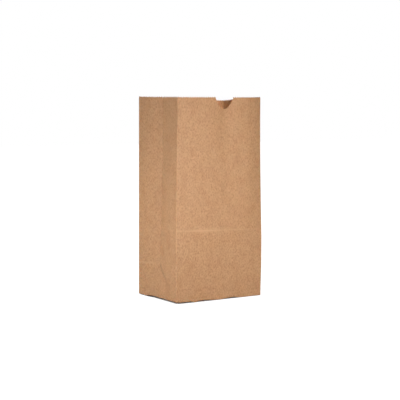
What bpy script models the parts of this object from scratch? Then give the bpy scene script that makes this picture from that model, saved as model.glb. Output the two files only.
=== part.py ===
"""Brown paper lunch bag, standing open, folded and glued from one sheet of kraft paper.

Units are metres and +Z is up. The origin is on the surface that the bag stands on, at the
middle of its base. The front panel, with the thumb notch, faces -Y. The side gussets face
-X and +X. The glued lap of the tube runs down the back panel, and the base is a satchel
bottom, with two tucked sides and two flaps that overlap.
"""

import math

import bmesh
import bpy
from mathutils import Vector

MM = 0.001

# Driving dimensions of the open bag
WIDTH = 125 * MM
DEPTH = 89 * MM
HEIGHT = 248 * MM
PAPER = 0.2 * MM

# Saw-cut rim
TEETH_ACROSS_FRONT = 40
TEETH_ACROSS_SIDE = 28
TEETH_PER_COLUMN = 2
TOOTH_DEPTH = 1.8 * MM

# Thumb notch in the front panel; a fullness of 2 is an ellipse, and 1 a plain V
NOTCH_CENTRE = 4.2 * MM
NOTCH_HALF_WIDTH = 13.6 * MM
NOTCH_DEPTH = 15.4 * MM
NOTCH_FULLNESS = 1.65
NOTCH_TEETH = 14
NOTCH_TOOTH_DEPTH = 0.7 * MM

# Side gussets, pushed in along their centre crease, with halves that bow out
GUSSET_DEPTH_AT_JUNCTION = 4.8 * MM
LEFT_GUSSET_AT_RIM = 7.6 * MM
RIGHT_GUSSET_AT_RIM = 11 * MM
FRONT_HALF_BOW = 1.8 * MM
BACK_HALF_BOW_AT_JUNCTION = 1.3 * MM
BACK_HALF_BOW_AT_RIM = 3.0 * MM
SIDE_RIDGE = 1.1 * MM
SIDE_HOLLOW = 0.7 * MM

# Creases left by the folded-up base, and the hollow that each one makes
BACK_CREASE_DROP = 3 * MM
BACK_CREASE_HOLLOW = 1.5 * MM
PRESS_LINE_HEIGHT = 86.2 * MM
PRESS_LINE_RIDGE = 0.7 * MM
PRESS_LINE_SLANT = 1.8 * MM
CREASE_REACH = 16 * MM

# Slack of the open panels
FRONT_BULGE = 3.6 * MM
BACK_BULGE = 3.5 * MM
RIGHT_FULLNESS = 0.9 * MM
GROOVE_DEPTH_BELOW = 1.3 * MM
GROOVE_DEPTH_AT_RIM = 2.4 * MM

# How far the upright corners stand from a true box
FRONT_LEFT_SHIFT = Vector((0.6, -1.0, 0)) * MM
BACK_RIGHT_SHIFT = Vector((0, -3.5, 0)) * MM
BACK_RIGHT_DROP = 4.2 * MM
FRONT_RIGHT_STANDS_OUT = 1.0 * MM
FRONT_RIGHT_LEANS_IN = 5.1 * MM
SHIFT_STARTS = 70 * MM

# Glued lap of the tube, on the back panel
LAP_CENTRE = 22 * MM
LAP_WIDTH = 12 * MM
LAP_EDGE = 0.3 * MM

# Base flaps
FLAP_OVERLAP = 12 * MM
FLAP_INSET = 0.1 * MM
FLOOR = 3 * PAPER

# Rows of folds up the wall
ROWS_BELOW_JUNCTION = 7
ROWS_TO_PRESS_LINE = 4
ROWS_TO_RIM = 11

KRAFT_BROWN = "#C89C75"
KRAFT_ROUGHNESS = 0.85
SHARP_CREASE = math.radians(8)

TOUCH = 0.001 * MM

inner_width = WIDTH - 2 * PAPER
inner_depth = DEPTH - 2 * PAPER
junction_height = FLOOR + inner_depth / 2


def clear_scene():
    for obj in list(bpy.data.objects):
        bpy.data.objects.remove(obj)


def new_collection(name):
    collection = bpy.data.collections.new(name)
    bpy.context.scene.collection.children.link(collection)
    return collection


def linear_colour(hex_colour):
    """An sRGB hex colour as linear RGBA."""
    channels = [int(hex_colour[i : i + 2], 16) / 255 for i in (1, 3, 5)]
    linear = [c / 12.92 if c <= 0.04045 else ((c + 0.055) / 1.055) ** 2.4 for c in channels]
    return (*linear, 1)


def kraft_paper():
    material = bpy.data.materials.new("kraft_paper")
    material.use_nodes = True
    shader = material.node_tree.nodes["Principled BSDF"]
    shader.inputs["Base Color"].default_value = linear_colour(KRAFT_BROWN)
    shader.inputs["Roughness"].default_value = KRAFT_ROUGHNESS
    shader.inputs["Metallic"].default_value = 0
    return material


def smooth_step(value, start, end):
    """0 before start, 1 after end, and an easy curve between them."""
    share = min(max((value - start) / (end - start), 0), 1)
    return share * share * (3 - 2 * share)


def tent(value, peak, reach):
    """1 at the peak, falling straight to 0 at the reach on either side of it."""
    return max(0, 1 - abs(value - peak) / reach)


def bell(value, peak, reach):
    return math.exp(-(((value - peak) / reach) ** 2))


def tooth(place, pitch):
    """Height of a saw-cut edge, from 0 in a gullet to 1 on a point."""
    return 1 - abs(2 * ((place / pitch) % 1) - 1)


def gusset_push(x, y, z):
    """How far a side wall is folded in, at a distance y from its centre crease.

    Over the junction the section is a V with bowed halves. Under it two creases run down at
    45 degrees from the centre crease to the corners of the base, and the triangle between
    them leans out to the base.
    """
    half = inner_depth / 2
    to_edge = half - abs(y)
    share = to_edge / half
    rise = max(0, (z - junction_height) / (HEIGHT - junction_height))
    if z < junction_height:
        push = GUSSET_DEPTH_AT_JUNCTION * min(z - FLOOR, to_edge) / half
    else:
        at_rim = LEFT_GUSSET_AT_RIM if x < 0 else RIGHT_GUSSET_AT_RIM
        deeper = (at_rim - GUSSET_DEPTH_AT_JUNCTION) * (1 - (1 - rise) ** 3)
        push = (GUSSET_DEPTH_AT_JUNCTION + deeper) * share
    if y > 0:
        more = (BACK_HALF_BOW_AT_RIM - BACK_HALF_BOW_AT_JUNCTION) * math.sqrt(rise)
        bow = BACK_HALF_BOW_AT_JUNCTION + more
        across = math.sin(math.pi * y / half)
        push -= SIDE_RIDGE * across * tent(z, junction_height, CREASE_REACH)
        push += SIDE_HOLLOW * across * bell(z, junction_height - CREASE_REACH, CREASE_REACH / 2)
    else:
        bow = FRONT_HALF_BOW * (1 - smooth_step(z, 150 * MM, 235 * MM))
    return push - bow * 4 * share * (1 - share) * smooth_step(z, FLOOR, 40 * MM)


def front_swell(x, z):
    """How far the front panel stands proud, with the press line and the groove under the notch."""
    out = abs(2 * x) / WIDTH
    slack = FRONT_BULGE * smooth_step(z, FLOOR, HEIGHT / 2) * (1 - out**2.8)
    deepest = NOTCH_CENTRE + 3 * MM
    reach = (14 if x < deepest else 12) * MM * (0.6 + 0.4 * smooth_step(z, 125 * MM, HEIGHT))
    depth = GROOVE_DEPTH_BELOW * smooth_step(z, 112 * MM, 185 * MM)
    depth += (GROOVE_DEPTH_AT_RIM - GROOVE_DEPTH_BELOW) * smooth_step(z, 185 * MM, HEIGHT)
    fuller = RIGHT_FULLNESS * bell(x, 42 * MM, 12 * MM) * bell(z, 150 * MM, 50 * MM)
    ridge = PRESS_LINE_RIDGE * tent(z, PRESS_LINE_HEIGHT, CREASE_REACH / 2) * (1 - out**6)
    return slack - depth * bell(x, deepest, reach) + fuller + ridge


def back_swell(x, z):
    slack = smooth_step(z, FLOOR, HEIGHT / 2) * math.cos(math.pi * x / WIDTH)
    hollow = tent(z, junction_height, CREASE_REACH)
    edge = 1 - (2 * abs(x) / WIDTH) ** 4
    return BACK_BULGE * slack - BACK_CREASE_HOLLOW * hollow * edge


def folded(point):
    """The place in the open bag of a point on the plain box."""
    x, y, z = point
    on_side = abs(x) > inner_width / 2 - TOUCH
    on_front = y < -inner_depth / 2 + TOUCH
    on_back = y > inner_depth / 2 - TOUCH
    right = 0.5 + x / inner_width
    front = 0.5 - y / inner_depth
    moved = Vector(point)
    if on_side and not on_front and not on_back:
        moved.x -= math.copysign(gusset_push(x, y, z), x)
    if on_front:
        moved.y -= front_swell(x, z)
    if on_back:
        moved.y += back_swell(x, z)
    if z > FLOOR + TOUCH:
        lean = smooth_step(z, SHIFT_STARTS, HEIGHT)
        moved += FRONT_LEFT_SHIFT * lean * (1 - right) * front
        moved += BACK_RIGHT_SHIFT * lean * right * (1 - front)
        curl = 0.3 * right + 0.7 * max(0, (right - 0.8) / 0.2) ** 2 if on_front else right
        lean_in = FRONT_RIGHT_LEANS_IN * math.sin(math.pi / 2 * min(max((z - 75 * MM) / (165 * MM), 0), 1))
        moved.y += front * curl * (lean_in - FRONT_RIGHT_STANDS_OUT * smooth_step(z, 2 * MM, 40 * MM))
        moved.z -= BACK_CREASE_DROP * (1 - front) * tent(z, junction_height, junction_height - FLOOR)
        moved.z -= PRESS_LINE_SLANT * (2 * right - 1) * front * tent(z, PRESS_LINE_HEIGHT, 30 * MM)
        moved.z -= BACK_RIGHT_DROP * right * (1 - front) * smooth_step(z, junction_height, HEIGHT)
    return moved


def saw_cut(point):
    """The place of a rim point once the edge is cut to teeth."""
    x, y, z = point
    on_side = abs(x) > inner_width / 2 - TOUCH
    if on_side:
        height = tooth(y + inner_depth / 2, inner_depth / TEETH_ACROSS_SIDE)
    else:
        height = tooth(x + inner_width / 2, inner_width / TEETH_ACROSS_FRONT)
    return Vector((x, y, z - TOOTH_DEPTH * (1 - height)))


def cut_along(bm, faces, normal, through):
    """New edges where a plane meets these faces."""
    edges = {edge for face in faces for edge in face.edges}
    verts = {vert for face in faces for vert in face.verts}
    bmesh.ops.bisect_plane(
        bm,
        geom=[*verts, *edges, *faces],
        dist=TOUCH,
        plane_co=through,
        plane_no=normal,
    )


def row_heights():
    lower = junction_height - FLOOR
    heights = [FLOOR + lower * row / ROWS_BELOW_JUNCTION for row in range(1, ROWS_BELOW_JUNCTION + 1)]
    middle = PRESS_LINE_HEIGHT - junction_height
    heights += [junction_height + middle * row / ROWS_TO_PRESS_LINE for row in range(1, ROWS_TO_PRESS_LINE + 1)]
    upper = HEIGHT - PRESS_LINE_HEIGHT
    heights += [PRESS_LINE_HEIGHT + upper * row / ROWS_TO_RIM for row in range(1, ROWS_TO_RIM)]
    return heights


def cut_columns_and_rows(bm):
    columns_across = TEETH_ACROSS_FRONT // TEETH_PER_COLUMN
    columns_deep = TEETH_ACROSS_SIDE // TEETH_PER_COLUMN
    for column in range(1, columns_across):
        place = inner_width * (column / columns_across - 0.5)
        cut_along(bm, bm.faces[:], Vector((1, 0, 0)), Vector((place, 0, 0)))
    for column in range(1, columns_deep):
        place = inner_depth * (column / columns_deep - 0.5)
        cut_along(bm, bm.faces[:], Vector((0, 1, 0)), Vector((0, place, 0)))
    for height in row_heights():
        cut_along(bm, bm.faces[:], Vector((0, 0, 1)), Vector((0, 0, height)))


def cut_side_diagonals(bm):
    for toward_back in (-1, 1):
        low_sides = [
            face
            for face in bm.faces
            if abs(face.normal.x) > 0.9
            and face.calc_center_median().z < junction_height
            and face.calc_center_median().y * toward_back > 0
        ]
        corner = Vector((0, toward_back * inner_depth / 2, FLOOR))
        cut_along(bm, low_sides, Vector((0, toward_back, 1)).normalized(), corner)


def cut_lap_edges(bm):
    for side in (-1, 1):
        for step in (0, side * LAP_EDGE):
            back = [face for face in bm.faces if face.normal.y > 0.9]
            place = LAP_CENTRE + side * LAP_WIDTH / 2 + step
            cut_along(bm, back, Vector((1, 0, 0)), Vector((place, 0, 0)))


def open_box():
    """The bag's inner surface: a box with no top, cut where it folds, then folded."""
    bpy.ops.mesh.primitive_cube_add(size=1)
    box = bpy.context.object
    bm = bmesh.new()
    bm.from_mesh(box.data)
    tall = HEIGHT - FLOOR
    bmesh.ops.scale(bm, vec=(inner_width, inner_depth, tall), verts=bm.verts)
    bmesh.ops.translate(bm, vec=(0, 0, FLOOR + tall / 2), verts=bm.verts)
    top = [face for face in bm.faces if face.normal.z > 0.9]
    bmesh.ops.delete(bm, geom=top, context="FACES")
    cut_columns_and_rows(bm)
    cut_side_diagonals(bm)
    rim = [edge for edge in bm.edges if edge.is_boundary]
    bmesh.ops.subdivide_edges(bm, edges=rim, cuts=2 * TEETH_PER_COLUMN - 1)
    cut_lap_edges(bm)
    lap = [
        vert.index
        for vert in bm.verts
        if vert.co.y > inner_depth / 2 - TOUCH and abs(vert.co.x - LAP_CENTRE) < LAP_WIDTH / 2 + TOUCH
    ]
    for vert in bm.verts:
        flat = vert.co.copy()
        vert.co = folded(flat)
        if flat.z > HEIGHT - TOUCH:
            vert.co += saw_cut(flat) - flat
    toothed = [face for face in bm.faces if len(face.verts) > 4]
    bmesh.ops.triangulate(bm, faces=toothed)
    bm.verts.index_update()
    bm.to_mesh(box.data)
    bm.free()
    return box, lap


def prism(name, outline, thickness):
    """A closed mesh of a flat outline with this thickness, lying in its own XY plane."""
    curve = bpy.data.curves.new(name, "CURVE")
    curve.dimensions = "2D"
    curve.fill_mode = "BOTH"
    curve.extrude = thickness / 2
    spline = curve.splines.new("POLY")
    spline.points.add(len(outline) - 1)
    for point, (x, y) in zip(spline.points, outline):
        point.co = (x, y, 0, 1)
    spline.use_cyclic_u = True
    guide = bpy.data.objects.new(name + "_outline", curve)
    bpy.context.scene.collection.objects.link(guide)
    graph = bpy.context.evaluated_depsgraph_get()
    mesh = bpy.data.meshes.new_from_object(guide.evaluated_get(graph))
    bpy.data.objects.remove(guide)
    bm = bmesh.new()
    bm.from_mesh(mesh)
    bmesh.ops.remove_doubles(bm, verts=bm.verts, dist=TOUCH)
    bmesh.ops.recalc_face_normals(bm, faces=bm.faces)
    bm.to_mesh(mesh)
    bm.free()
    return bpy.data.objects.new(name, mesh)


def notch_outline():
    """The notch seen from the front: a rounded V cut with small teeth, open at the top."""
    steps = 2 * NOTCH_TEETH
    points = []
    for step in range(steps + 1):
        angle = math.pi * step / steps
        cut = NOTCH_TOOTH_DEPTH * (step % 2)
        across = math.copysign(abs(math.cos(angle)) ** (2 / NOTCH_FULLNESS), -math.cos(angle))
        down = math.sin(angle) ** (2 / NOTCH_FULLNESS)
        points.append(
            (
                NOTCH_CENTRE + (NOTCH_HALF_WIDTH - cut) * across,
                HEIGHT - (NOTCH_DEPTH - cut) * down,
            )
        )
    above = HEIGHT + NOTCH_DEPTH
    return [*points, (points[-1][0], above), (points[0][0], above)]


def notch_cutter():
    cutter = prism("thumb_notch_cutter", notch_outline(), DEPTH / 3)
    cutter.rotation_euler = (math.pi / 2, 0, 0)
    cutter.location = (0, -DEPTH / 2, 0)
    return cutter


def base_flap(name, toward_back, lowest):
    """One flap of the satchel bottom: a trapezoid hinged at the foot of its panel."""
    hinge = DEPTH / 2 - FLAP_INSET
    tip = -FLAP_OVERLAP / 2
    half_hinge = WIDTH / 2 - FLAP_INSET
    half_tip = half_hinge - (hinge - tip)
    outline = [
        (-half_hinge, hinge * toward_back),
        (half_hinge, hinge * toward_back),
        (half_tip, tip * toward_back),
        (-half_tip, tip * toward_back),
    ]
    highest = FLOOR - PAPER / 2
    flap = prism(name, outline, highest - lowest)
    flap.location = (0, 0, (highest + lowest) / 2)
    return flap


def apply_boolean(bag, other, operation, helpers):
    helpers.objects.link(other)
    other.hide_render = True
    other.display_type = "WIRE"
    modifier = bag.modifiers.new(other.name, "BOOLEAN")
    modifier.operation = operation
    modifier.solver = "EXACT"
    modifier.object = other


def thicken(bag, lap):
    """Paper on the outside of the inner surface, doubled along the glued lap."""
    group = bag.vertex_groups.new(name="glued_lap")
    group.add(lap, 1, "REPLACE")
    paper = bag.modifiers.new("paper", "SOLIDIFY")
    paper.thickness = 2 * PAPER
    paper.thickness_vertex_group = 0.5
    paper.vertex_group = group.name
    paper.offset = 1
    paper.use_even_offset = True


def build_bag():
    parts = new_collection("lunch_bag")
    helpers = new_collection("cutters_and_flaps")
    bag, lap = open_box()
    bag.name = "paper_bag"
    bag.data.name = "paper_bag"
    for collection in list(bag.users_collection):
        collection.objects.unlink(bag)
    parts.objects.link(bag)
    bag.data.materials.append(kraft_paper())
    bag.data.shade_smooth()
    bag.data.set_sharp_from_angle(angle=SHARP_CREASE)
    thicken(bag, lap)
    apply_boolean(bag, notch_cutter(), "DIFFERENCE", helpers)
    apply_boolean(bag, base_flap("front_flap", -1, 0), "UNION", helpers)
    apply_boolean(bag, base_flap("back_flap", 1, PAPER), "UNION", helpers)


clear_scene()
build_bag()
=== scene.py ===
"""Brown paper lunch bag, standing open in plain studio light.

The bag is one sheet of machine-made unbleached kraft paper: a tube with a glued lap down its
back, side gussets, a satchel bottom, a saw-cut rim and a thumb notch. It is modelled here as
that sheet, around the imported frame. Units are metres, +Z is up and the front panel faces -Y.
"""

import math
from typing import NamedTuple

import bmesh
import bpy
import numpy as np
from bpy.props import FloatProperty, FloatVectorProperty, IntProperty, PointerProperty
from mathutils import Matrix, Vector, noise


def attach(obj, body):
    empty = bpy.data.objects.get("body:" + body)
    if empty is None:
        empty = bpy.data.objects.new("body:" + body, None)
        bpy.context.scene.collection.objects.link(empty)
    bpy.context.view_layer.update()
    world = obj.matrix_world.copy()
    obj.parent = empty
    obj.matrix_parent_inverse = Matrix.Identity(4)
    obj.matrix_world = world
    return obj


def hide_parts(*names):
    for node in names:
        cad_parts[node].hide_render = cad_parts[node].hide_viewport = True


bl_info = {
    "name": "Paper lunch bag",
    "version": (1, 0, 0),
    "blender": (4, 5, 0),
    "location": "View3D > Sidebar > Lunch bag",
    "description": "Folds a kraft paper lunch bag from one sheet and sets a plain studio stage",
    "category": "Add Mesh",
}

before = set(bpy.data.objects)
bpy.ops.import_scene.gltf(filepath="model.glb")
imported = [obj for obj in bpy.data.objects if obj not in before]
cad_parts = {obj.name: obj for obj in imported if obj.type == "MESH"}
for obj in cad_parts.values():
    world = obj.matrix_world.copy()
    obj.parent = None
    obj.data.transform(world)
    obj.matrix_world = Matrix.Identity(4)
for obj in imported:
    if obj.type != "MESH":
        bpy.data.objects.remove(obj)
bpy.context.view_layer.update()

MM = 0.001
PHOTO_SIDE = 400
SENSOR_WIDTH = 36.0
TOOTH_SEED = 4
CREASE_NICK = 0.7

# Walk round the tube, from the under edge of the glued lap to its upper edge
BACK_START, LEFT_SIDE, FRONT, RIGHT_SIDE, BACK_END = range(5)


def linear_colour(hex_colour):
    """An sRGB hex colour as linear RGB."""
    channels = [int(hex_colour[i : i + 2], 16) / 255 for i in (1, 3, 5)]
    return [c / 12.92 if c <= 0.04045 else ((c + 0.055) / 1.055) ** 2.4 for c in channels]


def length(name, default_mm, text):
    """A length as a property, in metres, from its default in millimetres."""
    return FloatProperty(name=name, default=default_mm * MM, unit="LENGTH", precision=5, description=text)


def angle(name, default_degrees, text):
    """An angle as a property, from its default in degrees."""
    return FloatProperty(name=name, default=math.radians(default_degrees), subtype="ANGLE", description=text)


def watts(name, default, text):
    """The power of a lamp as a property."""
    return FloatProperty(name=name, default=default, description=f"Power of the {text}, in watts")


def colour(name, hex_colour, text):
    """A colour as a property, from its sRGB hex value."""
    return FloatVectorProperty(
        name=name,
        default=linear_colour(hex_colour),
        subtype="COLOR",
        size=3,
        min=0,
        max=1,
        description=text,
    )


class BagSizes(bpy.types.PropertyGroup):
    """Sizes of the open bag."""

    width: length("Width", 125, "Outer width of the front and back panels")
    depth: length("Depth", 89, "Outer width of a side gusset, opened out")
    height: length("Height", 248, "Height of the front panel's rim over the floor")
    paper: length("Paper", 0.16, "Thickness of the paper")
    front_teeth: IntProperty(name="Front teeth", default=40, description="Saw teeth across a wide panel")
    side_teeth: IntProperty(name="Side teeth", default=28, description="Saw teeth across a gusset")
    tooth_depth: length("Tooth depth", 1.8, "Depth of the rim's saw teeth")
    tooth_unevenness: FloatProperty(name="Tooth unevenness", default=0.25, description="0 for even teeth")
    back_right_drop: length("Back right drop", 4.2, "How much lower the rim is at the back right corner")
    notch_centre: length("Notch centre", 4.2, "Middle of the thumb notch, from the middle of the panel")
    notch_half_width: length("Notch half width", 13.6, "Half the notch's width at the rim")
    notch_depth: length("Notch depth", 15.4, "Depth of the notch below the rim")
    lap_teeth: IntProperty(name="Lap", default=4, description="Width of the glued lap, in rim teeth")
    gusset_at_junction: length("Gusset at junction", 4.8, "How far a gusset is in where its creases meet")
    left_gusset_at_rim: length("Left gusset at rim", 7.6, "How far the left gusset is in at the rim")
    right_gusset_at_rim: length("Right gusset at rim", 11, "How far the right gusset is in at the rim")
    press_line: length("Press line", 86.2, "Height of the line that the folded base pressed into the front")


class PaperLooks(bpy.types.PropertyGroup):
    """Colours of the unbleached kraft paper."""

    pulp: colour("Pulp", "#CA9468", "Plain colour of the paper")
    shade: colour("Shade", "#AD7448", "Darker clouds and fibres in the pulp")
    # Light is also painted on creases as painted highlight, as well as worn paper
    light: colour("Light", "#DDAF83", "Paler fibres, and the worn tops of creases")
    # Bark's colour is also painted into creases as painted shade
    bark: colour("Bark", "#80573A", "Small specks of bark and knots")


class StudioLooks(bpy.types.PropertyGroup):
    """Light, floor and camera."""

    front_power: watts("Front", 1.14, "front lamp")
    left_power: watts("Left", 0.62, "left lamp")
    low_power: watts("Low", 0.13, "small lamp at the side")
    top_power: watts("Top", 0.05, "lamp over the bag")
    far_power: watts("Far", 9, "lamp behind the bag")
    behind_power: watts("Behind", 1.05, "lamp at the back left")
    world_level: FloatProperty(name="World", default=0.1, description="Brightness of the light all round")
    camera_azimuth: angle("Azimuth", -33.13, "Camera's turn round the bag")
    camera_elevation: angle("Elevation", 5.12, "Camera's height as an angle")
    camera_roll: angle("Roll", 0.27, "Camera's roll")
    camera_distance: length("Distance", 1434, "From the camera to the point that it looks at")
    camera_aim: length("Aim", 119.25, "Height of the point that the camera looks at")
    focal_px: FloatProperty(name="Focal length", default=1148, description="In pixels of the photograph")


def smooth_step(value, start, end):
    """0 before start, 1 after end, and an easy curve between them."""
    share = np.clip((value - start) / (end - start), 0, 1)
    return share * share * (3 - 2 * share)


def tent(value, peak, reach):
    """1 at the peak, falling straight to 0 at the reach on either side of it."""
    return np.clip(1 - np.abs(value - peak) / reach, 0, 1)


def bell(value, peak, reach):
    """1 at the peak, falling in a bell curve that is nearly 0 at twice the reach from it."""
    return np.exp(-(((value - peak) / reach) ** 2))


def soft_least(a, b, softness):
    """The lesser of two values, with the kink between them rounded."""
    return (a + b - np.sqrt((a - b) ** 2 + softness**2)) / 2


# The sheet: a grid of columns round the tube and rows up it
class Sheet:
    """Columns, rows and folds of the open bag, worked out from its sizes.

    along is the distance round the tube from the under edge of the lap, and panel says
    which panel a column is on. The paper's middle surface is what is modelled; its
    thickness is added afterwards.
    """

    crease_steps = (0.3 * MM, 0.7 * MM)
    crease_half = 0.4 * MM
    corner_radius = 0.6 * MM
    foot = 1.0 * MM
    fold_steps = 4
    flap_step = 2.4 * MM
    flap_overlap = 12 * MM
    tuck_under = 3 * MM
    back_crease_drop = 3 * MM
    lap_edge_tooth = 29
    layer_share = 1.2

    def __init__(self, sizes):
        self.sizes = sizes
        self.half_width = (sizes.width - sizes.paper) / 2
        self.half_depth = (sizes.depth - sizes.paper) / 2
        self.front_pitch = 2 * self.half_width / sizes.front_teeth
        self.side_pitch = 2 * self.half_depth / sizes.side_teeth
        self.lap_width = sizes.lap_teeth * self.front_pitch
        self.lap_high = -self.half_width + self.lap_edge_tooth * self.front_pitch
        self.layer = self.layer_share * sizes.paper
        self.turns = self.turning_points()
        sides = np.linalg.norm(np.diff(self.turns, axis=0), axis=1)
        self.stations = np.concatenate([[0], np.cumsum(sides)])
        self.along = self.column_places()
        self.panel = np.clip(np.searchsorted(self.stations, self.along, side="right") - 1, 0, BACK_END)
        self.rows = self.row_heights()

    def turning_points(self):
        """The corners of the tube seen from above, with the two edges of the sheet at the ends."""
        w, d = self.half_width, self.half_depth
        lap_low = self.lap_high - self.lap_width
        return np.array([(self.lap_high, d), (-w, d), (-w, -d), (w, -d), (w, d), (lap_low, d)])

    def column_places(self):
        """A column at each point and gullet of the rim's teeth, and some close to each crease."""
        places = [self.stations[0], self.stations[-1]]
        steps = [self.front_pitch / 2, self.side_pitch / 2, self.front_pitch / 2, self.side_pitch / 2]
        steps.append(self.front_pitch / 2)
        for panel, step in enumerate(steps):
            start, end = self.stations[panel], self.stations[panel + 1]
            places += list(start + step * np.arange(round((end - start) / step) + 1))
        for corner in self.stations[1:-1]:
            places += [corner + side * step for side in (-1, 1) for step in self.crease_steps]
        for side in (LEFT_SIDE, RIGHT_SIDE):
            middle = (self.stations[side] + self.stations[side + 1]) / 2
            places += [middle - self.crease_half, middle + self.crease_half]
        lap_edge = self.stations[-1] - self.lap_width
        places += [lap_edge - 0.4 * MM, lap_edge - 1 * MM]
        return np.unique(np.round(places, 7))

    def row_heights(self):
        """Rows that meet the diagonal creases of the gussets at the columns, then coarser ones."""
        step = self.side_pitch / 2
        low = self.half_depth
        press = self.sizes.press_line
        top = self.sizes.height
        rows = [self.foot]
        rows += [step * row for row in range(1, self.sizes.side_teeth + 1)]
        rows += [low - self.crease_half, low + self.crease_half]
        rows += list(np.linspace(low + 1.9 * MM, press - 1.2 * MM, 20))
        rows += [press - 0.5 * MM, press, press + 0.5 * MM]
        rows += list(np.linspace(press + 1.2 * MM, top - 3 * MM, 70))
        rows += [top]
        return np.unique(np.round(rows, 7))

    def plan(self):
        """Each column's place on the base rectangle, with the folded corners rounded."""
        points = np.empty((len(self.along), 2))
        for axis in range(2):
            points[:, axis] = np.interp(self.along, self.stations, self.turns[:, axis])
        for index in range(1, 5):
            corner = self.turns[index]
            before = (self.turns[index - 1] - corner) / np.linalg.norm(self.turns[index - 1] - corner)
            after = (self.turns[index + 1] - corner) / np.linalg.norm(self.turns[index + 1] - corner)
            near = np.abs(self.along - self.stations[index]) < self.corner_radius
            t = (self.along[near] - self.stations[index] + self.corner_radius) / (2 * self.corner_radius)
            points[near] = corner + self.corner_radius * (
                np.outer((1 - t) ** 2, before) + np.outer(t**2, after)
            )
        return points

    def gusset_push(self, x, y, z):
        """How far a side wall is folded in.

        Over the junction of its creases the section is a V whose back half curves out.
        Under it two creases run down at 45 degrees to the corners of the base.
        """
        s, half = self.sizes, self.half_depth
        centre_rounding = 0.3 * MM
        back_kink, front_kink = 2.5 * MM, 3.5 * MM
        front_bow_fades, front_bow_ends = 150 * MM, 235 * MM
        back_dent, back_dent_reach = 1.1 * MM, 14 * MM
        back_bulge, back_bulge_reach, back_bulge_under = 0.9 * MM, 8 * MM, 13 * MM
        to_edge = half - np.sqrt(y**2 + centre_rounding**2) + centre_rounding
        share = np.clip(to_edge / half, 0, 1)
        rise = np.clip((z - half) / (s.height - half), 0, 1)
        at_rim = np.where(x < 0, s.left_gusset_at_rim, s.right_gusset_at_rim)
        depth = s.gusset_at_junction + (at_rim - s.gusset_at_junction) * (1 - (1 - rise) ** 3)
        back_bow = 1.3 * MM + 1.7 * MM * rise**0.5
        front_bow = 1.8 * MM * (1 - smooth_step(z, front_bow_fades, front_bow_ends))
        lopsided = np.where(y > 0, 1 + 0.5 * rise * (2 * share - 1), 1)
        arch = 4 * share * (1 - share) * lopsided
        bow = np.where(y > 0, back_bow, front_bow) * arch * smooth_step(z, 0, 40 * MM)
        upper = depth * share - bow
        kink = np.where(y > 0, back_kink, front_kink)
        lower = s.gusset_at_junction * soft_least(z, to_edge, kink) / half - bow
        push = np.where(z < half, lower, upper)
        across = np.sin(np.pi * np.clip(y, 0, half) / half)
        push -= back_dent * across * tent(z, half, back_dent_reach)
        push += back_bulge * across * bell(z, half - back_bulge_under, back_bulge_reach)
        return push

    def front_swell(self, x, z):
        """How far the front panel stands proud: slack, the groove under the notch, the press line."""
        s = self.sizes
        across = np.abs(x) / self.half_width
        slack_depth, fuller_depth, ridge_height = 3.6 * MM, 1.3 * MM, 0.7 * MM
        groove_low, groove_mid = 112 * MM, 185 * MM
        flatter = np.where(x < 0, 2.2, 2.8)
        slack = slack_depth * smooth_step(z, 0, s.height / 2) * (1 - across**flatter)
        deepest = s.notch_centre + 3 * MM
        widening = 0.6 + 0.4 * smooth_step(z, 125 * MM, s.height)
        reach = np.where(x < deepest, 14 * MM, 12 * MM) * widening
        depth = 1.3 * MM * smooth_step(z, groove_low, groove_mid)
        depth = depth + 1.1 * MM * smooth_step(z, groove_mid, s.height)
        groove = depth * bell(x, deepest, reach)
        fuller = fuller_depth * bell(x, 41 * MM, 12 * MM) * bell(z, 150 * MM, 50 * MM)
        ridge = ridge_height * tent(z, s.press_line, 7 * MM) * (1 - across**6)
        return slack - groove + fuller + ridge

    def back_swell(self, x, z):
        """How far the back panel stands proud: slack, and the hollow at the folded base's crease."""
        slack_depth, hollow_depth = 3.5 * MM, 1.5 * MM
        edge = 1 - (np.abs(x) / self.half_width) ** 4
        across = np.cos(np.pi * x / (2 * self.half_width))
        slack = slack_depth * smooth_step(z, 0, self.sizes.height / 2) * across
        hollow = hollow_depth * tent(z, self.half_depth, 14 * MM) * edge
        return slack - hollow

    def lap_lift(self):
        """How far each column stands off the layer under it, along the upper part of the lap."""
        lap_edge = self.stations[-1] - self.lap_width
        return self.layer * smooth_step(self.along, lap_edge - 1.5 * MM, lap_edge)

    def edge_distance(self):
        """Each column's distance from the nearest corner of the tube."""
        return np.min(np.abs(self.along[:, None] - self.stations[None, 1:-1]), axis=1)

    def slackness(self, x, y, z):
        """Gentle cockling of the paper, from broad waves to small ones."""
        broad, small = 34 * MM, 11 * MM
        elsewhere = Vector((7, 3, 1))
        flat = np.stack(np.broadcast_arrays(x, y, z), -1).reshape(-1, 3)
        waves = [
            0.35 * noise.noise(Vector(p) / broad) + 0.12 * noise.noise(Vector(p) / small + elsewhere)
            for p in flat
        ]
        return np.array(waves).reshape(np.broadcast_shapes(x.shape, y.shape, z.shape)) * MM

    def walls(self):
        """Places of the tube's grid, as an array of columns by rows by 3."""
        s = self.sizes
        base = self.plan()
        x = base[:, :1] + 0 * self.rows[None, :]
        y = base[:, 1:] + 0 * self.rows[None, :]
        z = self.rows[None, :] + 0 * x
        flat_x, flat_y = x.copy(), y.copy()
        panel = self.panel[:, None]
        to_corner = self.edge_distance()[:, None]
        cockle = self.slackness(x, y, z) * smooth_step(to_corner, 0, 14 * MM) * smooth_step(z, 0, 20 * MM)
        on_side = (panel == LEFT_SIDE) | (panel == RIGHT_SIDE)
        on_back = (panel == BACK_START) | (panel == BACK_END)
        out_side = np.sign(flat_x) * (cockle - self.gusset_push(flat_x, flat_y, z))
        x = x + np.where(on_side, out_side, 0)
        y = y - np.where(panel == FRONT, self.front_swell(flat_x, z) + cockle, 0)
        lift = self.lap_lift()[:, None]
        y = y + np.where(on_back, self.back_swell(flat_x, z) + cockle + lift, 0)
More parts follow.
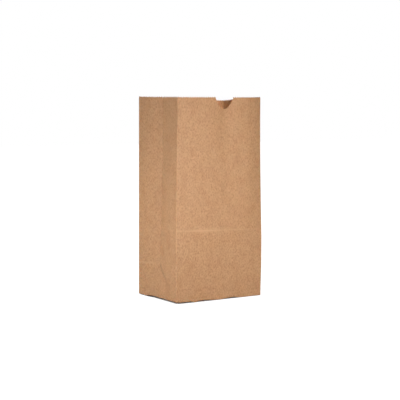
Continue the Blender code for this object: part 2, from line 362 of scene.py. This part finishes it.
        # The upright corners lean, because the opened bag doesn't stand as a true box
        front_right_lean, front_right_out = 5.1 * MM, 1.0 * MM
        front_left_lean, front_left_in, back_right_lean = 1.0 * MM, 0.6 * MM, 3.5 * MM
        press_slant = 1.8 * MM
        right = 0.5 + flat_x / (2 * self.half_width)
        front = 0.5 - flat_y / (2 * self.half_depth)
        level = z
        near_corner = np.clip((right - 0.8) / 0.2, 0, 1) ** 2
        curl = np.where(panel == FRONT, 0.3 * right + 0.7 * near_corner, right)
        lean_in = front_right_lean * np.sin(np.pi / 2 * np.clip((level - 75 * MM) / (165 * MM), 0, 1))
        stand_out = front_right_out * smooth_step(level, 2 * MM, 40 * MM)
        lean = smooth_step(level, 70 * MM, s.height)
        y = y + front * (lean_in - stand_out) * curl - front_left_lean * (1 - right) * front * lean
        y = y - back_right_lean * right * (1 - front) * lean
        x = x + front_left_in * (1 - right) * front * lean
        back_crease = tent(level, self.half_depth, self.half_depth - 2 * MM)
        z = z - self.back_crease_drop * (1 - front) * back_crease
        z = z - press_slant * (2 * right - 1) * front * tent(level, s.press_line, 30 * MM)
        z = z - s.back_right_drop * right * (1 - front) * smooth_step(level, 45 * MM, s.height)
        return np.stack([x, y, z], -1)

    def flap(self, panel):
        """Places of the flap or tuck that a panel folds into under the bag, by column and row."""
        columns = self.columns_of(panel)
        base = self.plan()[columns]
        side = panel in (LEFT_SIDE, RIGHT_SIDE)
        out = np.array([np.sign(base[0, 0]), 0]) if side else np.array([0, np.sign(base[1, 1])])
        hinge = self.half_width if side else self.half_depth
        half_span = self.half_depth if side else self.half_width
        layers = {LEFT_SIDE: 3, RIGHT_SIDE: 3, FRONT: 0}.get(panel, 2)
        level = self.sizes.paper / 2 + self.layer * layers - self.lap_lift()[columns]
        radius = self.foot - level
        reach = self.half_depth + (self.tuck_under if side else self.flap_overlap / 2)
        rows = []
        for step in range(1, self.fold_steps + 1):
            angle = math.pi / 2 * step / self.fold_steps
            rows.append((radius * (1 - math.cos(angle)), level + radius * (1 - math.sin(angle))))
        flat_rows = math.ceil((reach - self.foot) / self.flap_step)
        for step in range(1, flat_rows + 1):
            share = step / flat_rows
            rows.append((radius + (reach - radius) * share, level))
        across = base[:, 1] if side else base[:, 0]
        places = []
        for inward, height in rows:
            narrowed = inward - (np.minimum(self.tuck_under, 0.8 * inward) if side else 0)
            moved = across * np.maximum(half_span - narrowed, 0.3 * MM) / half_span
            depth = hinge - inward
            plan = np.outer(depth, out) + np.outer(moved, (0, 1) if side else (1, 0))
            places.append(np.column_stack([plan, height]))
        return columns, np.stack(places, 1)

    def foot_lift(self, places):
        """Lifts the edge of the base where it doesn't quite touch the floor.

        Its front edge touches at one narrow place on the left, round the middle, and at the right.
        """
        highest, fade_in, fade_up = 1.5 * MM, 9 * MM, 12 * MM
        left_lift, other_lift = 1.3, 0.4
        x, y, z = places[..., 0], places[..., 1], places[..., 2]
        touching = bell(x, -34.6 * MM, 4 * MM) + bell(x, -1 * MM, 13 * MM)
        touching = touching + smooth_step(x, 20 * MM, 32 * MM)
        in_front = np.clip(1 - touching, 0, 1)
        on_left = 1 - smooth_step(y, 10 * MM, 30 * MM)
        front = smooth_step(-y, self.half_depth - 12 * MM, self.half_depth - 4 * MM)
        left = smooth_step(-x, self.half_width - 12 * MM, self.half_width - 4 * MM)
        lift = np.maximum(front * in_front, left_lift * left * on_left)
        lift = np.maximum(lift, other_lift * (1 - front) * (1 - left))
        inside = np.minimum(self.half_width - np.abs(x), self.half_depth - np.abs(y))
        near_edge = (1 - smooth_step(inside, 0, fade_in)) * (1 - smooth_step(z, 0, fade_up))
        lifted = places.copy()
        lifted[..., 2] += highest * lift * near_edge
        return lifted

    def columns_of(self, panel):
        """The columns of a panel, both its edges among them."""
        start, end = self.stations[panel], self.stations[panel + 1]
        return np.nonzero((self.along > start - 1e-6) & (self.along < end + 1e-6))[0]

    def crease_wear(self):
        """Over 0 where a crease is painted pale, as worn paper and as painted highlight, and under 0 where
        painted shade darkens it.
        """
        x, y = (self.plan()[:, axis, None] for axis in range(2))
        z = self.rows[None, :]
        panel = self.panel[:, None]
        half = self.half_depth
        s = self.sizes
        on_side = (panel == LEFT_SIDE) | (panel == RIGHT_SIDE)
        # The press line is painted pale, partly as worn paper and partly as painted highlight on its ridge,
        # stronger in two places and fading towards the right corner
        uneven = 0.35 + 1.2 * bell(x, -26 * MM, 20 * MM) + 0.35 * bell(x, 23 * MM, 12 * MM)
        short_of_right = smooth_step(self.half_width - x, 0, 30 * MM)
        press = 1.5 * bell(z, s.press_line, 1.0 * MM) * uneven * short_of_right
        painted_light_and_wear = np.where(panel == FRONT, press, 0)
        # The press line's painted highlight runs a little way onto the front half of each side
        low_side = on_side & (y < 0)
        painted_light_and_wear = painted_light_and_wear + np.where(low_side, 0.35 * bell(z, s.press_line + 1 * MM, 0.8 * MM), 0)
        # Painted highlight along each side's level crease, where its ridge stands out
        ridge = bell(z, half, 0.7 * MM) * smooth_step(y, 0, 6 * MM)
        painted_light_and_wear = painted_light_and_wear + np.where(on_side, (0.4 + 0.9 * np.abs(y) / half) * ridge, 0)
        # Painted shade along the lower diagonal creases, mostly on their front halves
        diagonal = bell(z - (half - np.abs(y)), 0, 2.8 * MM) * smooth_step(z, 14 * MM, 36 * MM) * (z < half)
        painted_light_and_wear = painted_light_and_wear - np.where(on_side, np.where(y > 0, 0.1, 0.65) * diagonal, 0)
        # Painted highlight on the back half beside each side's middle crease and painted shade on its front
        # half, stronger towards the rim
        high = (z >= half) * (0.4 + 0.6 * smooth_step(z, 100 * MM, 200 * MM))
        painted_highlight_beside_crease = bell(y, 1.8 * MM, 1.6 * MM) + 0.4 * bell(y, 5 * MM, 5 * MM)
        painted_shade_beside_crease = bell(y, -1.0 * MM, 0.8 * MM)
        painted_light_and_wear = painted_light_and_wear + np.where(on_side, (0.35 * painted_highlight_beside_crease - 0.35 * painted_shade_beside_crease) * high, 0)
        # On the back, the base crease and the lap's edge are painted pale, as worn paper and painted
        # highlight, with a painted shadow beside the lap's edge
        on_back = (panel == BACK_START) | (panel == BACK_END)
        lap_edge = self.stations[-1] - self.lap_width
        folds = 0.7 * bell(z, half, 0.9 * MM) + 0.4 * bell(self.along[:, None], lap_edge, 0.7 * MM)
        folds = folds - 0.5 * bell(self.along[:, None], lap_edge - 1 * MM, 0.5 * MM)
        painted_light_and_wear = painted_light_and_wear + np.where(on_back, folds, 0)
        # The upright corners are painted a little pale higher up, as worn paper and painted highlight
        corner = bell(self.edge_distance()[:, None], 0, 0.6 * MM)
        return painted_light_and_wear + 0.15 * corner * smooth_step(z, 60 * MM, 160 * MM)


def add_grid_faces(bm, grid):
    """Quads between the vertices of a grid of columns by rows, facing out of the bag."""
    faces = []
    for low, high in zip(grid[:-1], grid[1:]):
        for row in range(len(low) - 1):
            faces.append(bm.faces.new((low[row], high[row], high[row + 1], low[row + 1])))
    return faces


def sheet_mesh(sheet):
    """The folded sheet as one mesh of its middle surface, with what the rim and the paper need to know."""
    bm = bmesh.new()
    along = bm.verts.layers.float.new("along_rim")
    rim = bm.verts.layers.float.new("at_rim")
    painted_light_and_wear = bm.verts.layers.float.new("crease_wear")
    blank = bm.loops.layers.uv.new("blank")
    flat = {}
    places = sheet.foot_lift(sheet.walls())
    # Pale and dark paint on the creases: worn paper, painted highlight and painted shade
    worn = sheet.crease_wear()
    top = len(sheet.rows) - 1
    teeth = rim_phase(sheet)
    from_crease = np.abs(sheet.along - (sheet.stations[FRONT] - sheet.half_depth))
    nicked = from_crease < sheet.crease_half + 1e-6
    wall = []
    for column, u in enumerate(sheet.along):
        wall.append([])
        for row, v in enumerate(sheet.rows):
            vert = bm.verts.new(places[column, row])
            vert[along] = teeth[column]
            # The rim is cut a little deeper at the left gusset's centre crease
            vert[rim] = 1 + CREASE_NICK * nicked[column] if row == top else 0
            vert[painted_light_and_wear] = worn[column, row]
            flat[vert] = (u, v)
            wall[-1].append(vert)
    add_grid_faces(bm, wall)
    for panel in range(5):
        columns, under = sheet.flap(panel)
        under = sheet.foot_lift(under)
        grid = []
        for index, column in enumerate(columns):
            line = [wall[column][0]]
            for row in range(under.shape[1]):
                vert = bm.verts.new(under[index, row])
                # The flaps narrow but keep the walls' coordinates, so their grain narrows too
                flat[vert] = (sheet.along[column], -(row + 1) * sheet.flap_step)
                line.append(vert)
            grid.append(line[::-1])
        add_grid_faces(bm, grid)
    for face in bm.faces:
        for loop in face.loops:
            loop[blank].uv = flat[loop.vert]
    split_diagonal_quads(bm, sheet, flat)
    mesh = bpy.data.meshes.new("kraft_sheet")
    bm.normal_update()
    bm.to_mesh(mesh)
    bm.free()
    return mesh


def rim_phase(sheet):
    """Each column's place along the rim, counted in teeth."""
    teeth = [sheet.front_pitch, sheet.side_pitch, sheet.front_pitch, sheet.side_pitch, sheet.front_pitch]
    counts = np.concatenate([[0], np.cumsum(np.diff(sheet.stations) / np.array(teeth))])
    return np.interp(sheet.along, sheet.stations, counts)


def split_diagonal_quads(bm, sheet, flat):
    """Cuts each quad under a gusset's 45 degree crease along that crease, so that the fold is straight."""
    half = sheet.half_depth
    for side in (LEFT_SIDE, RIGHT_SIDE):
        middle = (sheet.stations[side] + sheet.stations[side + 1]) / 2

        def off_crease(vert):
            u, v = flat[vert]
            return abs(v - (half - abs(u - middle)))

        pairs = []
        for face in bm.faces:
            if len(face.verts) != 4:
                continue
            u, v = flat[face.verts[0]]
            if abs(u - middle) > half or v < 0 or v > half + MM:
                continue
            on_crease = [vert for vert in face.verts if off_crease(vert) < 1e-6]
            if len(on_crease) == 2 and not bm.edges.get(on_crease):
                pairs.append((face, on_crease))
        for face, verts in pairs:
            bmesh.utils.face_split(face, verts[0], verts[1])


# Geometry nodes
def node(tree, kind, links=(), **settings):
    """A node with its settings, and the links into its sockets, by name or number."""
    made = tree.nodes.new(kind)
    for name, value in settings.items():
        if name == "inputs":
            for socket, number in value.items():
                made.inputs[socket].default_value = number
        else:
            setattr(made, name, value)
    for source, socket in links:
        tree.links.new(source, made.inputs[socket])
    return made


def saw_cut_tree():
    """Cuts the rim to saw teeth: points at the rim drop by the depth of a tooth, to a zigzag."""
    tree = bpy.data.node_groups.new("saw_cut_rim", "GeometryNodeTree")
    face = tree.interface
    face.new_socket("Sheet", in_out="INPUT", socket_type="NodeSocketGeometry")
    depth = face.new_socket("Tooth depth", in_out="INPUT", socket_type="NodeSocketFloat")
    uneven = face.new_socket("Uneven", in_out="INPUT", socket_type="NodeSocketFloat")
    seed = face.new_socket("Seed", in_out="INPUT", socket_type="NodeSocketInt")
    paper = face.new_socket("Paper", in_out="INPUT", socket_type="NodeSocketMaterial")
    face.new_socket("Sheet", in_out="OUTPUT", socket_type="NodeSocketGeometry")
    start = tree.nodes.new("NodeGroupInput").outputs
    end = tree.nodes.new("NodeGroupOutput").inputs
    phase = node(tree, "GeometryNodeInputNamedAttribute", data_type="FLOAT", inputs={"Name": "along_rim"})
    at_rim = node(tree, "GeometryNodeInputNamedAttribute", data_type="FLOAT", inputs={"Name": "at_rim"})
    zigzag = node(
        tree, "ShaderNodeMath", [(phase.outputs["Attribute"], 0)], operation="PINGPONG", inputs={1: 0.5}
    )
    gullet = node(
        tree, "ShaderNodeMath", [(zigzag.outputs[0], 0)], operation="MULTIPLY_ADD", inputs={1: -2.0, 2: 1.0}
    )
    least = node(tree, "ShaderNodeMath", [(start["Uneven"], 1)], operation="SUBTRACT", inputs={0: 1.0})
    chance = node(
        tree,
        "FunctionNodeRandomValue",
        [(least.outputs[0], "Min"), (start["Seed"], "Seed")],
        data_type="FLOAT",
    )
    cut = node(
        tree, "ShaderNodeMath", [(gullet.outputs[0], 0), (start["Tooth depth"], 1)], operation="MULTIPLY"
    )
    worn = node(
        tree, "ShaderNodeMath", [(cut.outputs[0], 0), (chance.outputs["Value"], 1)], operation="MULTIPLY"
    )
    drop = node(
        tree,
        "ShaderNodeMath",
        [(worn.outputs[0], 0), (at_rim.outputs["Attribute"], 1)],
        operation="MULTIPLY",
    )
    down = node(tree, "ShaderNodeMath", [(drop.outputs[0], 0)], operation="MULTIPLY", inputs={1: -1.0})
    offset = node(tree, "ShaderNodeCombineXYZ", [(down.outputs[0], "Z")])
    move = node(
        tree, "GeometryNodeSetPosition", [(start["Sheet"], "Geometry"), (offset.outputs[0], "Offset")]
    )
    real = node(tree, "GeometryNodeRealizeInstances", [(move.outputs[0], 0)])
    painted = node(
        tree, "GeometryNodeSetMaterial", [(real.outputs[0], "Geometry"), (start["Paper"], "Material")]
    )
    tree.links.new(painted.outputs[0], end[0])
    return tree, {"depth": depth, "uneven": uneven, "seed": seed, "paper": paper}


def saw_cut(obj, sizes, paper):
    """Runs the rim's tree on the sheet."""
    tree, sockets = saw_cut_tree()
    modifier = obj.modifiers.new("saw_cut_rim", "NODES")
    modifier.node_group = tree
    modifier[sockets["depth"].identifier] = sizes.tooth_depth
    modifier[sockets["uneven"].identifier] = sizes.tooth_unevenness
    modifier[sockets["seed"].identifier] = TOOTH_SEED
    modifier[sockets["paper"].identifier] = paper


def notch_cutter(sizes):
    """A bar with the section of the thumb notch, with small teeth along its edge."""
    teeth, tooth_depth, fullness = 14, 0.7 * MM, 1.65
    steps = 2 * teeth
    outline = []
    for step in range(steps + 1):
        angle = math.pi * step / steps
        cut = tooth_depth * (step % 2)
        across = math.copysign(abs(math.cos(angle)) ** (2 / fullness), -math.cos(angle))
        down = math.sin(angle) ** (2 / fullness)
        x = sizes.notch_centre + (sizes.notch_half_width - cut) * across
        outline.append((x, sizes.height - (sizes.notch_depth - cut) * down))
    above = sizes.height + sizes.notch_depth
    outline += [(outline[-1][0], above), (outline[0][0], above)]
    bm = bmesh.new()
    near, far = -sizes.depth * 0.75, -sizes.depth * 0.25
    face = bm.faces.new([bm.verts.new((x, near, z)) for x, z in outline])
    pulled = bmesh.ops.extrude_face_region(bm, geom=[face])
    moved = [item for item in pulled["geom"] if isinstance(item, bmesh.types.BMVert)]
    bmesh.ops.translate(bm, vec=(0, far - near, 0), verts=moved)
    bmesh.ops.recalc_face_normals(bm, faces=bm.faces)
    mesh = bpy.data.meshes.new("notch_cutter")
    bm.to_mesh(mesh)
    bm.free()
    cutter = bpy.data.objects.new("notch_cutter", mesh)
    bpy.context.scene.collection.objects.link(cutter)
    return cutter


def baked(obj):
    """Turns what the modifiers make into the object's plain mesh, and removes the modifiers."""
    graph = bpy.context.evaluated_depsgraph_get()
    mesh = bpy.data.meshes.new_from_object(obj.evaluated_get(graph))
    obj.modifiers.clear()
    obj.data = mesh
    return obj


# Material
def kraft_paper(looks):
    """Machine-made unbleached kraft paper.

    Long softwood fibres laid mostly along the web, which runs up the bag, give faint
    streaks and clouds. Specks of bark stay in the unbleached pulp. Creases that stand
    proud are painted pale, partly as worn paper and partly as painted highlight, and
    creases that fold in are darkened by painted shade. The surface is matt, with a
    little gloss from the drying cylinder.
    """
    material = bpy.data.materials.new("machine_made_unbleached_kraft_paper")
    material.use_nodes = True
    tree = material.node_tree
    shader = tree.nodes["Principled BSDF"]
    blank = node(tree, "ShaderNodeUVMap", uv_map="blank")

    def pattern(grain_across, grain_along, detail, shift):
        """Noise whose grains have these sizes in metres, across and along the web."""
        scale = (1 / grain_across, 1 / grain_along, 1)
        spread = node(
            tree,
            "ShaderNodeMapping",
            [(blank.outputs[0], "Vector")],
            inputs={"Scale": scale, "Location": (shift, shift * 0.7, shift)},
        )
        noise_inputs = {"Scale": 1.0, "Detail": detail}
        made = node(tree, "ShaderNodeTexNoise", [(spread.outputs[0], "Vector")], inputs=noise_inputs)
        return made.outputs[0]

    def blend(amount, low, high, first, second):
        """Mixes two colours by a pattern that is stretched from low..high to 0..1."""
        spread = node(
            tree, "ShaderNodeMapRange", [(amount, "Value")], inputs={"From Min": low, "From Max": high}
        )
        mix = node(tree, "ShaderNodeMix", [(spread.outputs[0], 0)], data_type="RGBA")
        for source, number in ((first, 6), (second, 7)):
            if isinstance(source, bpy.types.NodeSocket):
                tree.links.new(source, mix.inputs[number])
            else:
                mix.inputs[number].default_value = (*source, 1)
        return mix.outputs[2]

    patterned, speck_cell, speck_strength = 0.85, 5 * MM, 0.45
    # Uneven formation of the pulp, as clouds and a finer mottle
    clouds = pattern(9 * MM, 14 * MM, 2, 1.7)
    mottle = pattern(1.9 * MM, 2.4 * MM, 3, 5.1)
    # Softwood fibres are 3 mm long but 0.03 mm wide, so they are drawn as bundles wide enough to show
    fibres = pattern(0.5 * MM, 3.2 * MM, 2, 8.3)
    tone = blend(mottle, 0.3, 0.7, looks.shade, looks.light)
    tone = blend(clouds, 0.0, 0.55, looks.shade, tone)
    streaked = blend(fibres, 0.35, 0.75, tone, looks.light)
    plain = node(tree, "ShaderNodeMix", [(streaked, 7)], data_type="RGBA", inputs={0: patterned})
    plain.inputs[6].default_value = (*looks.pulp, 1)
    # Specks up to 0.9 mm across, in about half of the cells of the pattern
    specks = node(
        tree,
        "ShaderNodeTexVoronoi",
        [(blank.outputs[0], "Vector")],
        inputs={"Scale": 1 / speck_cell, "Randomness": 1.0},
    )
    rare = node(tree, "ShaderNodeSeparateColor", [(specks.outputs["Color"], 0)])
    small = node(
        tree, "ShaderNodeMath", [(rare.outputs[0], 0)], operation="MULTIPLY_ADD", inputs={1: 0.16, 2: -0.07}
    )
    speck = node(
        tree,
        "ShaderNodeMath",
        [(specks.outputs["Distance"], 0), (small.outputs[0], 1)],
        operation="LESS_THAN",
    )
    faint = node(
        tree, "ShaderNodeMath", [(speck.outputs[0], 0)], operation="MULTIPLY", inputs={1: speck_strength}
    )
    flecked = node(tree, "ShaderNodeMix", [(faint.outputs[0], 0), (plain.outputs[2], 6)], data_type="RGBA")
    flecked.inputs[7].default_value = (*looks.bark, 1)
    # Creases: over 0 painted pale as worn paper and painted highlight, under 0 darkened by painted shade
    painted_light_and_wear = node(tree, "ShaderNodeAttribute", attribute_name="crease_wear")
    worn_and_highlit = blend(painted_light_and_wear.outputs["Fac"], 0, 1.6, flecked.outputs[2], looks.light)
    # Painted shade in creases uses the bark colour
    painted_shade_amount = node(tree, "ShaderNodeMath", [(painted_light_and_wear.outputs["Fac"], 0)], operation="MULTIPLY", inputs={1: -0.5})
    painted_crease_shade = blend(painted_shade_amount.outputs[0], 0, 1, worn_and_highlit, looks.bark)
    tree.links.new(painted_crease_shade, shader.inputs["Base Color"])
    height = node(tree, "ShaderNodeMath", [(mottle, 0), (fibres, 1)], operation="ADD")
    bump = node(
        tree,
        "ShaderNodeBump",
        [(height.outputs[0], "Height")],
        inputs={"Strength": 0.5, "Distance": 0.06 * MM},
    )
    tree.links.new(bump.outputs[0], shader.inputs["Normal"])
    rough = node(
        tree,
        "ShaderNodeMapRange",
        [(mottle, "Value")],
        inputs={"From Min": 0.3, "From Max": 0.7, "To Min": 0.56, "To Max": 0.66},
    )
    tree.links.new(rough.outputs[0], shader.inputs["Roughness"])
    shader.inputs["Specular IOR Level"].default_value = 0.4
    shader.inputs["IOR"].default_value = 1.5
    shader.inputs["Subsurface Weight"].default_value = 0.2
    shader.inputs["Subsurface Radius"].default_value = (1.0, 0.45, 0.2)
    shader.inputs["Subsurface Scale"].default_value = 0.3 * MM
    return material


class LUNCHBAG_OT_fold_sheet(bpy.types.Operator):
    """Fold the bag from one sheet of kraft paper, cut its rim and notch, and give it to the frame"""

    bl_idname = "lunchbag.fold_sheet"
    bl_label = "Fold the sheet"

    def execute(self, context):
        sizes = context.scene.lunch_bag_sizes
        paper = kraft_paper(context.scene.lunch_bag_paper)
        bag = bpy.data.objects.new("kraft_paper_sheet", sheet_mesh(Sheet(sizes)))
        context.scene.collection.objects.link(bag)
        saw_cut(bag, sizes, paper)
        baked(bag)
        wall = bag.modifiers.new("paper", "SOLIDIFY")
        wall.thickness = sizes.paper
        wall.offset = 0
        cutter = notch_cutter(sizes)
        notch = bag.modifiers.new("thumb_notch", "BOOLEAN")
        notch.operation = "DIFFERENCE"
        notch.solver = "EXACT"
        notch.object = cutter
        baked(bag)
        bpy.data.objects.remove(cutter)
        if len(bag.data.materials) != 1:
            bag.data.materials.clear()
            bag.data.materials.append(paper)
        bag.data.shade_smooth()
        bag.data.set_sharp_from_angle(angle=math.radians(35))
        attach(bag, "root")
        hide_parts("paper_bag")
        return {"FINISHED"}


# Stage
class Lamp(NamedTuple):
    """A square lamp: its place in degrees round the bag and over the floor, and in metres."""

    power: str
    size: float
    azimuth: float
    elevation: float
    distance: float
    aim: tuple
    spread: float = 180


LAMPS = {
    "front_lamp": Lamp("front_power", 0.2, 0, 0, 0.45, (0, 0, 0.165)),
    "left_lamp": Lamp("left_power", 0.2, -74, 0, 0.45, (0, 0, 0.165)),
    "low_lamp": Lamp("low_power", 0.12, -88, 0, 0.28, (0, 0, 0.085)),
    "top_lamp": Lamp("top_power", 0.05, 0, 60, 0.16, (0.016, 0.042, 0.236), 60),
    "far_lamp": Lamp("far_power", 0.7, 150, 20, 1.4, (0, 0, 0.12)),
    "behind_lamp": Lamp("behind_power", 0.6, -135, 8, 1.5, (0, 0, 0.12)),
}


def pale_floor():
    """Matt white floor that the camera sees as white, but for a thin shadow where the bag meets it."""
    contact_reach, white_strength, whiteness = 3 * MM, 1.25, 0.88
    material = bpy.data.materials.new("matt_white_studio_paper")
    material.use_nodes = True
    tree = material.node_tree
    shader = tree.nodes["Principled BSDF"]
    shader.inputs["Base Color"].default_value = (0.65, 0.65, 0.65, 1)
    shader.inputs["Roughness"].default_value = 0.9
    shader.inputs["Specular IOR Level"].default_value = 0.1
    white = node(tree, "ShaderNodeEmission", inputs={"Strength": white_strength})
    seen = node(tree, "ShaderNodeLightPath")
    # Right under the bag's edge the floor shows its own shade, and farther out it is nearly all white
    open_floor = node(tree, "ShaderNodeAmbientOcclusion", inputs={"Distance": contact_reach})
    near = node(
        tree,
        "ShaderNodeMapRange",
        [(open_floor.outputs["AO"], "Value")],
        inputs={"From Min": 0.35, "From Max": 0.65, "To Min": 0.0, "To Max": whiteness},
    )
    share = node(
        tree,
        "ShaderNodeMath",
        [(seen.outputs["Is Camera Ray"], 0), (near.outputs[0], 1)],
        operation="MULTIPLY",
    )
    mix = node(
        tree,
        "ShaderNodeMixShader",
        [(share.outputs[0], 0), (shader.outputs[0], 1), (white.outputs[0], 2)],
    )
    tree.links.new(mix.outputs[0], tree.nodes["Material Output"].inputs["Surface"])
    return material


def white_world(level):
    """Even light all round, seen by the camera as plain white."""
    world = bpy.data.worlds.new("studio")
    bpy.context.scene.world = world
    world.use_nodes = True
    tree = world.node_tree
    tree.nodes.clear()
    light = node(tree, "ShaderNodeBackground", inputs={"Strength": level})
    backdrop = node(tree, "ShaderNodeBackground", inputs={"Strength": 1.0})
    for background in (light, backdrop):
        background.inputs["Color"].default_value = (1, 1, 1, 1)
    seen = node(tree, "ShaderNodeLightPath")
    mix = node(
        tree,
        "ShaderNodeMixShader",
        [(seen.outputs["Is Camera Ray"], 0), (light.outputs[0], 1), (backdrop.outputs[0], 2)],
    )
    end = node(tree, "ShaderNodeOutputWorld")
    tree.links.new(mix.outputs[0], end.inputs["Surface"])


def direction(azimuth, elevation):
    """The direction from the bag to this azimuth and elevation, where azimuth 0 is in front."""
    level = math.cos(elevation)
    return Vector((math.sin(azimuth) * level, -math.cos(azimuth) * level, math.sin(elevation)))


def soft_light(name, lamp, power):
    """Sets a square lamp that faces its aim."""
    light = bpy.data.lights.new(name, "AREA")
    light.energy = power
    light.size = lamp.size
    light.spread = math.radians(lamp.spread)
    back = direction(math.radians(lamp.azimuth), math.radians(lamp.elevation))
    obj = bpy.data.objects.new(name, light)
    obj.location = Vector(lamp.aim) + back * lamp.distance
    obj.rotation_euler = back.to_track_quat("Z", "Y").to_euler()
    bpy.context.scene.collection.objects.link(obj)


def photo_camera(studio):
    """The camera at the photograph's place: square picture, looking slightly down, hardly rolled."""
    camera = bpy.data.cameras.new("photo_camera")
    camera.sensor_width = SENSOR_WIDTH
    camera.lens = studio.focal_px * SENSOR_WIDTH / PHOTO_SIDE
    azimuth, roll = studio.camera_azimuth, studio.camera_roll
    back = direction(azimuth, studio.camera_elevation)
    level = Vector((math.cos(azimuth), math.sin(azimuth), 0))
    upright = back.cross(level)
    right = math.cos(roll) * level + math.sin(roll) * upright
    up = math.cos(roll) * upright - math.sin(roll) * level
    place = Vector((0, 0, studio.camera_aim)) + back * studio.camera_distance
    obj = bpy.data.objects.new("photo_camera", camera)
    turn = Matrix((right, up, back)).transposed().to_4x4()
    obj.matrix_world = Matrix.Translation(place) @ turn
    bpy.context.scene.collection.objects.link(obj)
    bpy.context.scene.camera = obj


class LUNCHBAG_OT_set_stage(bpy.types.Operator):
    """Set the floor, the light and the camera"""

    bl_idname = "lunchbag.set_stage"
    bl_label = "Set the stage"

    def execute(self, context):
        studio = context.scene.lunch_bag_studio
        bpy.ops.mesh.primitive_plane_add(size=8)
        floor = context.object
        floor.name = "studio_floor"
        floor.data.materials.append(pale_floor())
        white_world(studio.world_level)
        for name, lamp in LAMPS.items():
            soft_light(name, lamp, getattr(studio, lamp.power))
        photo_camera(studio)
        context.scene.view_settings.view_transform = "Standard"
        return {"FINISHED"}


class LUNCHBAG_PT_panel(bpy.types.Panel):
    """Lists the bag's steps and sizes"""

    bl_label = "Lunch bag"
    bl_idname = "LUNCHBAG_PT_panel"
    bl_space_type = "VIEW_3D"
    bl_region_type = "UI"
    bl_category = "Lunch bag"

    def draw(self, context):
        layout = self.layout
        for operator in OPERATORS:
            layout.operator(operator.bl_idname)
        for group in ("lunch_bag_sizes", "lunch_bag_paper", "lunch_bag_studio"):
            values = getattr(context.scene, group)
            for name in type(values).__annotations__:
                layout.prop(values, name)


GROUPS = {"lunch_bag_sizes": BagSizes, "lunch_bag_paper": PaperLooks, "lunch_bag_studio": StudioLooks}
OPERATORS = (LUNCHBAG_OT_fold_sheet, LUNCHBAG_OT_set_stage)


def register():
    for item in (*GROUPS.values(), *OPERATORS, LUNCHBAG_PT_panel):
        bpy.utils.register_class(item)
    for name, group in GROUPS.items():
        setattr(bpy.types.Scene, name, PointerProperty(type=group))


def unregister():
    for name in GROUPS:
        delattr(bpy.types.Scene, name)
    for item in (LUNCHBAG_PT_panel, *OPERATORS, *GROUPS.values()):
        bpy.utils.unregister_class(item)


def clear_startup():
    """Removes what Blender's startup scene holds, and leaves the frame."""
    for name in ("Cube", "Light", "Camera"):
        obj = bpy.data.objects.get(name)
        if obj is not None:
            bpy.data.objects.remove(obj)


def main():
    clear_startup()
    register()
    bpy.ops.lunchbag.fold_sheet()
    bpy.ops.lunchbag.set_stage()


if __name__ == "__main__":
    main()
